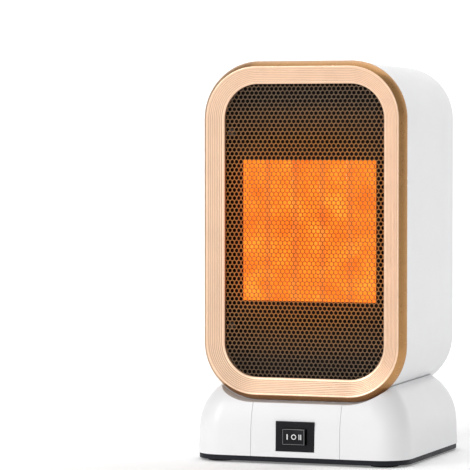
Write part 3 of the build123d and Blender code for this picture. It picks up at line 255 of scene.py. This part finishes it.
def mesh_metal():
    """Dark bronze paint, with a painted warm glow where the heater is behind it: the colour turns warm and
    emission is set there, though the mesh is no lamp.
    """
    shader = Shader("mesh_bronze_with_painted_glow")
    low, high = (Vector(corner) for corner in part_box("ptc_fins"))
    glow = painted_glow_mask(shader, (low + high) / 2, (high.x - low.x) / 2, (high.z - low.z) / 2, GLOW_FADE)
    shader.set(Metallic=0.6)
    # Bronze paint outside the heater's outline; inside it, warmer and brighter colours as painted glow
    paint = shader.colours(
        glow,
        (0.0, (0.24, 0.17, 0.115)),
        (0.04, (0.36, 0.21, 0.11)),
        (0.3, (0.50, 0.23, 0.07)),
        (1.0, (0.26, 0.08, 0.02)),
    )
    shader.join(paint, "Base Color")
    shader.join(shader.spread(shader.noise(900.0), 0.34, 0.5), "Roughness")
    shader.set(Emission_Color=(*GLOW, 1.0))
    shader.join(shader.spread(glow, 0.0, 0.16, 0.0, 1.0), "Emission Strength")
    shader.bump(shader.noise(5000.0), 0.4, 0.01 * MM)
    return shader.material


def glow_painted_on(name, colour, low, high):
    """Hot metal or ceramic: a dulled surface under an uneven orange glow, painted on as emission though
    these parts are no lamps.
    """
    shader = Shader(name)
    uneven = shader.noise(70.0, 4.0)
    shader.set(Roughness=0.75, Specular_IOR_Level=0.1)
    shader.join(shader.colours(uneven, (0.3, shade(colour, 0.9)), (0.7, colour)), "Base Color")
    # Colours of the painted glow, deep red to orange
    heat = shader.colours(
        uneven, (0.3, (1.0, 0.15, 0.008)), (0.55, (1.0, 0.20, 0.012)), (0.75, (1.0, 0.27, 0.025))
    )
    shader.join(heat, "Emission Color")
    shader.join(shader.spread(uneven, low, high), "Emission Strength")
    shader.bump(shader.noise(2500.0), 0.3, 0.01 * MM)
    return shader.material


def brushed(name, colour, roughness, stretch=(1.0, 1.0, 12.0)):
    """Plain metal with drawn or rolled lines."""
    shader = Shader(name)
    lines = shader.noise(900.0, 3.0, stretch)
    shader.set(Metallic=1.0)
    shader.join(shader.colours(lines, (0.3, shade(colour, 0.88)), (0.7, shade(colour, 1.05))), "Base Color")
    shader.join(shader.spread(lines, roughness * 0.8, roughness * 1.25), "Roughness")
    shader.bump(lines, 0.3, 0.01 * MM)
    return shader.material


def speckled(name, dark, light, roughness, scale):
    """Sintered or glass-filled stuff: a close grain of two tones."""
    shader = Shader(name)
    grain = shader.noise(scale, 5.0)
    shader.join(shader.colours(grain, (0.4, dark), (0.62, light)), "Base Color")
    shader.join(shader.spread(grain, roughness * 0.9, roughness), "Roughness")
    shader.set(Specular_IOR_Level=0.12)
    shader.bump(grain, 0.5, 0.03 * MM)
    return shader.material


MATERIALS = {
    "white": moulded("white_abs", WHITE, 0.34, 9.0, 0.25, 0.006, coat=0.1),
    "panel_white": moulded("panel_white_abs", shade(WHITE, 0.97), 0.45, 4.0, 0.3, 0.012),
    # The pocket's grey is partly the cup's own colour and partly painted shade of the recess
    "pocket_shaded_grey": moulded("pocket_abs_with_painted_shade", (0.30, 0.31, 0.32), 0.5, 0.4, 0.5, 0.04),
    "rose_gold": plated("rose_gold_plating", ROSE_GOLD, 0.42),
    # Painted shade in the groove bottoms: a darker copy of the rose-gold plating
    "shaded_groove": plated("plating_with_painted_groove_shade", shade(ROSE_GOLD, 0.74), 0.5),
    # Painted shade on the bevel: a darker copy of the rose-gold plating
    "shaded_bevel": plated("plating_with_painted_bevel_shade", BEVEL_SHADE_TONE, 0.30),
    "mesh": mesh_metal(),
    "black": moulded("black_abs", (0.010, 0.011, 0.016), 0.5, 0.5, 0.3, 0.06, specular=0.2),
    "switch_black": moulded("switch_black_nylon", (0.006, 0.006, 0.008), 0.35, 0.6, 0.2, 0.05, specular=0.2),
    # Painted highlight: the rocker's rounded edges are a lighter grey than the rocker
    "rocker_highlight": moulded("nylon_with_painted_edge_highlight", (0.21, 0.21, 0.215), 0.25, 0.6, 0.1, 0.05),
    "heat_black": speckled("glass_filled_black", (0.006, 0.0055, 0.005), (0.016, 0.014, 0.013), 0.8, 2200.0),
    "rubber": speckled("foot_rubber", (0.006, 0.006, 0.007), (0.018, 0.018, 0.02), 0.85, 3000.0),
    # Painted glow: emission on the fins, bars and stones, which are no lamps
    "fins": glow_painted_on("fin_aluminium_painted_glow", (0.20, 0.10, 0.06), 1.25, 1.6),
    "bars": glow_painted_on("bar_aluminium_painted_glow", (0.18, 0.09, 0.05), 1.0, 1.2),
    "ceramic": glow_painted_on("ceramic_painted_glow", (0.16, 0.12, 0.10), 0.8, 1.2),
    "zinc": brushed("zinc_steel", (0.60, 0.60, 0.62), 0.32),
    "motor": brushed("drawn_steel_can", (0.42, 0.42, 0.44), 0.35, (1.0, 12.0, 1.0)),
    "brass": brushed("terminal_brass", (0.80, 0.58, 0.25), 0.3),
    # Painted shade: the contact strips are near black, darker than their metal, so they stay dark behind the
    # mesh
    "shaded_contacts": brushed("contact_strip_painted_shade", (0.055, 0.045, 0.04), 0.6),
    "ferrite": speckled("ferrite", (0.02, 0.02, 0.022), (0.06, 0.06, 0.062), 0.5, 1800.0),
    "board": moulded("solder_mask_green", (0.02, 0.13, 0.05), 0.35, 0.8, 0.2, 0.1, coat=0.3),
    "cream": moulded("cream_polyamide", (0.66, 0.64, 0.56), 0.45),
    "mark": moulded("printed_white", (0.78, 0.79, 0.80), 0.5),
}

NODE_MATERIALS = {
    "white": ("main_housing", "base_shell", "switch_panel"),
    "panel_white": ("rear_panel",),
    "pocket_shaded_grey": ("handle_cup",),
    "black": ("base_plate", "cord_gland", "motor_end_cap", "tip_switch_body", "board_parts"),
    "heat_black": (
        "mesh_frame", "air_duct", "heater_cap_bottom", "heater_cap_top", "fan_shroud", "fan_impeller",
    ),
    "rubber": ("foot_front_left", "foot_front_right", "foot_rear_left", "foot_rear_right", "wire_grommet"),
    "bars": ("ptc_bars",),
    "ceramic": ("ptc_stones",),
    "zinc": (
        "trim_screws", "panel_screws", "duct_screws", "shroud_screws", "motor_screws", "base_screws",
        "neck_screws", "board_screws", "motor_shaft", "thermal_cutout", "tip_spring",
    ),
    "motor": ("motor_can", "motor_rotor"),
    "brass": ("motor_bushes", "switch_terminals", "thermal_fuse"),
    "shaded_contacts": ("ptc_electrodes",),
    "ferrite": ("motor_magnets",),
    "board": ("control_board",),
    "cream": ("terminal_block", "tip_plunger"),
}
for material_name, node_names in NODE_MATERIALS.items():
    for node_name in node_names:
        NODES[node_name].data.materials.clear()
        NODES[node_name].data.materials.append(MATERIALS[material_name])


# --- Mesh helpers
def add_mesh(name, vertices, faces, material, body, node=None):
    """Makes a piece from its vertices and faces, and rides it on a body."""
    data = bpy.data.meshes.new(name)
    data.from_pydata(vertices, [], faces)
    data.validate()
    tidy = bmesh.new()
    tidy.from_mesh(data)
    bmesh.ops.remove_doubles(tidy, verts=tidy.verts, dist=1e-7)
    bmesh.ops.recalc_face_normals(tidy, faces=tidy.faces)
    tidy.to_mesh(data)
    tidy.free()
    piece = bpy.data.objects.new(name, data)
    bpy.context.scene.collection.objects.link(piece)
    data.materials.append(MATERIALS[material])
    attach(piece, body)
    if node:
        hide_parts(node)
    return piece


def inside_rounded(x, z, half_width, half_height, radius):
    beyond_x = max(abs(x) - (half_width - radius), 0)
    beyond_z = max(abs(z) - (half_height - radius), 0)
    return hypot(beyond_x, beyond_z) < radius


# --- Front mesh: the true honeycomb, each strand crowned, cut to run under the trim's lip
def honeycomb():
    (low_x, low_y, low_z), (high_x, high_y, high_z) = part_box("front_mesh")
    middle_z = (low_z + high_z) / 2
    half_width = (high_x - low_x) / 2 - HEX_BORDER + HEX_REACH
    half_height = (high_z - low_z) / 2 - HEX_BORDER + HEX_REACH
    radius = TRIM_CORNER + HEX_REACH
    row_step = HEX_PITCH * sqrt(3) / 2
    outer = HEX_PITCH / sqrt(3)
    inner = (HEX_PITCH - HEX_STRAND) / sqrt(3)
    turns = [(cos(radians(30 + 60 * k)), sin(radians(30 + 60 * k))) for k in range(6)]
    vertices = []
    places = {}
    faces = []
    rims = {}

    def vertex(x, y, z):
        key = (round(x / MM, 3), round(y / MM, 3), round(z / MM, 3))
        if key not in places:
            places[key] = len(vertices)
            vertices.append((x, y, z))
        return places[key]

    rows = int(half_height / row_step) + 2
    columns = int(half_width / HEX_PITCH) + 2
    for row in range(-rows, rows + 1):
        for column in range(-columns, columns + 1):
            x = (column + 0.5 * (row % 2)) * HEX_PITCH
            z = row * row_step
            if not inside_rounded(x, z, half_width, half_height, radius):
                continue
            z += middle_z
            crown = [vertex(x + outer * c, low_y, z + outer * s) for c, s in turns]
            lip = [vertex(x + inner * c, low_y + HEX_CROWN, z + inner * s) for c, s in turns]
            foot = [vertex(x + inner * c, high_y - HEX_CROWN, z + inner * s) for c, s in turns]
            back = [vertex(x + outer * c, high_y, z + outer * s) for c, s in turns]
            for k in range(6):
                n = (k + 1) % 6
                faces.append((crown[k], crown[n], lip[n], lip[k]))
                faces.append((lip[k], lip[n], foot[n], foot[k]))
                faces.append((foot[k], foot[n], back[n], back[k]))
                rim = (crown[k], crown[n], back[n], back[k])
                rims.setdefault(frozenset(rim[:2]), []).append(rim)
    faces += [sides[0] for sides in rims.values() if len(sides) == 1]
    add_mesh("honeycomb_mesh", vertices, faces, "mesh", "heater", "front_mesh")


honeycomb()


# --- Front trim: its section carried round the opening, grooved face with painted shade in the groove bottoms, and a bevel in a darker copy of the plating as painted shade
def sharpen(data, degrees):
    """Smooth shading everywhere but over edges sharper than an angle."""
    edges = bmesh.new()
    edges.from_mesh(data)
    for face in edges.faces:
        face.smooth = True
    for edge in edges.edges:
        edge.smooth = len(edge.link_faces) == 2 and edge.calc_face_angle() < radians(degrees)
    edges.to_mesh(data)
    edges.free()


def trim_section():
    """The section's points, each with the material of the stretch that starts there."""

    def face_back(out):
        return TRIM_RECESS * (1 - out / TRIM_FACE)

    points = [(0.0, MESH_FRONT, "rose_gold")]
    points += [(out, face_back(out) + behind, "rose_gold") for out, behind in INNER_ROUND]
    for step in range(GROOVES * GROOVE_STEPS + 1):
        out = GROOVE_START + step * GROOVE_PITCH / GROOVE_STEPS
        dip = GROOVE_DEPTH * (1 - cos(2 * pi * step / GROOVE_STEPS)) / 2
        # Groove bottoms take the darker copy of the plating: painted shade
        colour = "shaded_groove" if step % GROOVE_STEPS in GROOVE_SHADE_STEPS else "rose_gold"
        points.append((out, face_back(out) + dip, colour))
    points += [(out, back, "rose_gold") for out, back in OUTER_ROUND]
    # The bevel takes the darker copy of the plating: painted shade
    for step in range(BEVEL_STEPS + 1):
        along = step / BEVEL_STEPS
        bulge = BEVEL_BULGE * 4 * along * (1 - along)
        out = BEVEL_START[0] + (BEVEL_END[0] - BEVEL_START[0]) * along + bulge
        back = BEVEL_START[1] + (BEVEL_END[1] - BEVEL_START[1]) * along - bulge / 2
        points.append((out, back, "shaded_bevel"))
    points += [
        (TRIM_BAND, TRIM_EDGE, "black"),
        (SKIRT_OUTER, TRIM_EDGE, "black"),
        (SKIRT_OUTER, SKIRT_BACK, "black"),
        (SKIRT_INNER, SKIRT_BACK, "black"),
        (SKIRT_INNER, MESH_BACK, "black"),
        (MESH_LEDGE, MESH_BACK, "black"),
        (MESH_LEDGE, MESH_FRONT, "black"),
    ]
    return points


def trim_ring():
    (low_x, low_y, low_z), (high_x, _, high_z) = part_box("front_trim")
    half_width = (high_x - low_x) / 2 - TRIM_BAND - TRIM_CORNER
    half_height = (high_z - low_z) / 2 - TRIM_BAND - TRIM_CORNER
    middle_z = (low_z + high_z) / 2
    section = trim_section()
    stations = []
    for quarter, (side_x, side_z) in enumerate(((1, 1), (-1, 1), (-1, -1), (1, -1))):
        for step in range(CORNER_STEPS + 1):
            angle = (quarter + step / CORNER_STEPS) * pi / 2
            stations.append((side_x * half_width, middle_z + side_z * half_height, cos(angle), sin(angle)))
    vertices = []
    for x, z, c, s in stations:
        for out, back, _ in section:
            reach = TRIM_CORNER + out
            vertices.append((x + reach * c, low_y + back, z + reach * s))
    count = len(section)
    faces = []
    for at in range(len(stations)):
        after = (at + 1) % len(stations)
        for k in range(count):
            n = (k + 1) % count
            faces.append((at * count + k, at * count + n, after * count + n, after * count + k))
    ring = add_mesh("trim_ring", vertices, faces, "rose_gold", "heater", "front_trim")
    order = {"rose_gold": 0, "shaded_bevel": 1, "black": 2, "shaded_groove": 3}
    for other in ("shaded_bevel", "black", "shaded_groove"):
        ring.data.materials.append(MATERIALS[other])
    for face in ring.data.polygons:
        face.material_index = order[section[face.index % count][2]]
    sharpen(ring.data, SMOOTH_UP_TO)


trim_ring()


# --- Heater fins
def folded_fins():
    """Zigzag strips between two side sheets, in two rows that slope up to the back and down again."""
    (low_x, low_y, low_z), (high_x, high_y, high_z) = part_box("ptc_fins")
    pitch = (high_x - low_x + BAR_WIDTH) / FIN_BLOCKS
    middle_y = (low_y + high_y) / 2
    folds = int((high_z - low_z - FIN_MARGIN) / FIN_FOLD)
    start = (low_z + high_z) / 2 - folds * FIN_FOLD / 2
    rows = ((low_y + FIN_SHEET, middle_y, FIN_SLOPE), (middle_y, high_y - FIN_SHEET, -FIN_SLOPE))
    for block in range(FIN_BLOCKS):
        left = low_x + block * pitch + FIN_SHEET
        right = left + pitch - BAR_WIDTH - 2 * FIN_SHEET
        strips = []
        for x in (left, right):
            strips.append(([(x, low_z), (x, high_z)], low_y + FIN_SHEET, high_y - FIN_SHEET, 0.0))
        for front, back, slope in rows:
            line = []
            for fold in range(folds + 1):
                side = right if fold % 2 else left
                height = start + fold * FIN_FOLD
                line += [(side, height - FIN_FOLD * FIN_FLAT), (side, height)]
            strips.append((line, front, back, slope))
        vertices = []
        faces = []
        for line, front, back, slope in strips:
            first = len(vertices)
            for x, z in line:
                vertices += [(x, front, z - slope), (x, back, z + slope)]
            for k in range(len(line) - 1):
                at = first + 2 * k
                faces.append((at, at + 1, at + 3, at + 2))
        name = f"folded_fins_{block + 1}"
        data = bpy.data.meshes.new(name)
        data.from_pydata(vertices, [], faces)
        piece = bpy.data.objects.new(name, data)
        bpy.context.scene.collection.objects.link(piece)
        data.materials.append(MATERIALS["fins"])
        sheet = piece.modifiers.new("sheet", "SOLIDIFY")
        sheet.thickness = FIN_SHEET
        sheet.offset = 0.0
        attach(piece, "heater")
        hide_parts("ptc_fins")


folded_fins()


# --- Switch: bezel and rocker with softened edges, the rocker's edges a lighter grey as painted highlight
def softened(node, name, edge_material, body, width):
    """A copy of a CAD node with its sharp edges rounded, which stands for the node."""
    data = NODES[node].data.copy()
    piece = bpy.data.objects.new(name, data)
    bpy.context.scene.collection.objects.link(piece)
    joined = bmesh.new()
    joined.from_mesh(data)
    bmesh.ops.remove_doubles(joined, verts=joined.verts, dist=1e-6)
    bmesh.ops.dissolve_limit(joined, angle_limit=radians(1), verts=joined.verts, edges=joined.edges)
    joined.to_mesh(data)
    joined.free()
    data.materials.clear()
    data.materials.append(MATERIALS["switch_black"])
    data.materials.append(MATERIALS[edge_material])
    edges = piece.modifiers.new("edges", "BEVEL")
    edges.material = 1
    edges.width = width
    edges.segments = ROUND_STEPS
    edges.angle_limit = radians(ROUND_OVER)
    edges.use_clamp_overlap = True
    edges.harden_normals = True
    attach(piece, body)
    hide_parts(node)


softened("switch_body", "switch_bezel", "switch_black", "heater", BEZEL_ROUND)
# The rocker's rounded edges take a lighter grey: painted highlight
softened("switch_rocker", "rocker_cap", "rocker_highlight", "rocker", ROCKER_ROUND)


# --- Marks on the rocker: a bar, a ring and two bars, lying on its hollow face
def rocker_marks():
    (low_x, low_y, low_z), (high_x, _, high_z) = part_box("switch_rocker")
    half = (high_x - low_x) / 2
    middle_z = (low_z + high_z) / 2

    def face_y(x):
        return low_y + ROCKER_DISH * (1 - (x / half) ** 2)

    def bar(name, x, stroke):
        outline = [(x - stroke / 2, -MARK_HEIGHT / 2), (x + stroke / 2, -MARK_HEIGHT / 2)]
        outline += [(x + stroke / 2, MARK_HEIGHT / 2), (x - stroke / 2, MARK_HEIGHT / 2)]
        vertices = []
        for at_x, z in outline:
            vertices.append((at_x, face_y(at_x) - MARK_PROUD, middle_z + z))
            vertices.append((at_x, face_y(at_x) + MARK_SUNK, middle_z + z))
        count = len(outline)
        faces = [tuple(2 * k for k in range(count)), tuple(2 * k + 1 for k in reversed(range(count)))]
        for k in range(count):
            n = (k + 1) % count
            faces.append((2 * k, 2 * k + 1, 2 * n + 1, 2 * n))
        add_mesh(name, vertices, faces, "mark", "rocker", None)

    def ring(name, x):
        steps = 40
        outer = MARK_HEIGHT / 2
        inner = outer - RING_STROKE
        vertices = []
        for step in range(steps):
            angle = 2 * pi * step / steps
            for radius in (outer, inner):
                at_x = x + radius * cos(angle)
                for y in (face_y(at_x) - MARK_PROUD, face_y(at_x) + MARK_SUNK):
                    vertices.append((at_x, y, middle_z + radius * sin(angle)))
        faces = []
        for step in range(steps):
            a = 4 * step
            b = 4 * ((step + 1) % steps)
            faces += [(a, b, b + 2, a + 2), (a + 1, a + 3, b + 3, b + 1)]
            faces += [(a, a + 1, b + 1, b), (a + 2, b + 2, b + 3, a + 3)]
        add_mesh(name, vertices, faces, "mark", "rocker", None)

    bar("mark_one", -MARK_OFFSET, MARK_STROKE * 1.15)
    ring("mark_off", 0.0)
    bar("mark_two_left", MARK_OFFSET - MARK_SPACING, MARK_STROKE * 0.9)
    bar("mark_two_right", MARK_OFFSET + MARK_SPACING, MARK_STROKE * 0.9)


rocker_marks()


# --- Floor and backdrop in one sweep
def sweep_floor():
    foot = BACKDROP_Y - BACKDROP_BEND
    profile = [(-FLOOR_REACH, 0.0), (foot, 0.0)]
    for turn in range(BEND_STEP, 91, BEND_STEP):
        angle = radians(turn)
        profile.append((foot + BACKDROP_BEND * sin(angle), BACKDROP_BEND * (1 - cos(angle))))
    profile.append((BACKDROP_Y, BACKDROP_TOP))
    vertices = []
    for y, z in profile:
        vertices += [(-FLOOR_HALF, y, z), (FLOOR_HALF, y, z)]
    faces = [(2 * k, 2 * k + 1, 2 * k + 3, 2 * k + 2) for k in range(len(profile) - 1)]
    data = bpy.data.meshes.new("studio_floor")
    data.from_pydata(vertices, [], faces)
    for polygon in data.polygons:
        polygon.use_smooth = True
    floor = bpy.data.objects.new("studio_floor", data)
    bpy.context.scene.collection.objects.link(floor)
    shader = Shader("studio_paper")
    shader.set(Base_Color=(0.93, 0.93, 0.93, 1.0), Roughness=0.9)
    shader.set(Emission_Color=(1.0, 1.0, 1.0, 1.0), Emission_Strength=0.2)
    data.materials.append(shader.material)


sweep_floor()


# --- Studio light
def softbox(name, place, aim, width, height, power):
    data = bpy.data.lights.new(name, "AREA")
    data.shape = "RECTANGLE"
    data.size = width
    data.size_y = height
    data.energy = power
    lamp = bpy.data.objects.new(name, data)
    bpy.context.scene.collection.objects.link(lamp)
    lamp.location = place
    lamp.rotation_euler = (Vector(aim) - Vector(place)).to_track_quat("-Z", "Y").to_euler()


BODY_MIDDLE = (0.0, 0.0, 0.14)
softbox("key_left", (-1.5, -1.9, 1.3), BODY_MIDDLE, 1.2, 1.6, 29.0)
softbox("front_fill", (0.5, -2.6, 0.9), BODY_MIDDLE, 1.6, 1.6, 13.5)
softbox("top", (0.0, 0.8, 1.9), BODY_MIDDLE, 1.6, 1.2, 6.5)
softbox("backdrop_wash", (0.0, 0.9, 1.6), (0.0, 2.6, 0.8), 3.0, 0.5, 26.0)

world = bpy.data.worlds.new("studio")
bpy.context.scene.world = world
world.use_nodes = True
world.node_tree.nodes["Background"].inputs["Color"].default_value = (1.0, 1.0, 1.0, 1.0)
world.node_tree.nodes["Background"].inputs["Strength"].default_value = WORLD_STRENGTH
bpy.context.scene.view_settings.view_transform = "Standard"

# --- Camera
camera_data = bpy.data.cameras.new("camera")
camera_data.lens = VIEW_LENS
camera_data.sensor_width = SENSOR_WIDTH
camera_data.clip_start = NEAREST_SEEN
camera = bpy.data.objects.new("camera", camera_data)
bpy.context.scene.collection.objects.link(camera)
azimuth = radians(VIEW_AZIMUTH)
elevation = radians(VIEW_ELEVATION)
towards = Vector((sin(azimuth) * cos(elevation), -cos(azimuth) * cos(elevation), sin(elevation)))
camera.location = Vector(VIEW_AIM) + towards * VIEW_DISTANCE
camera.rotation_euler = (-towards).to_track_quat("-Z", "Y").to_euler()
bpy.context.scene.camera = camera
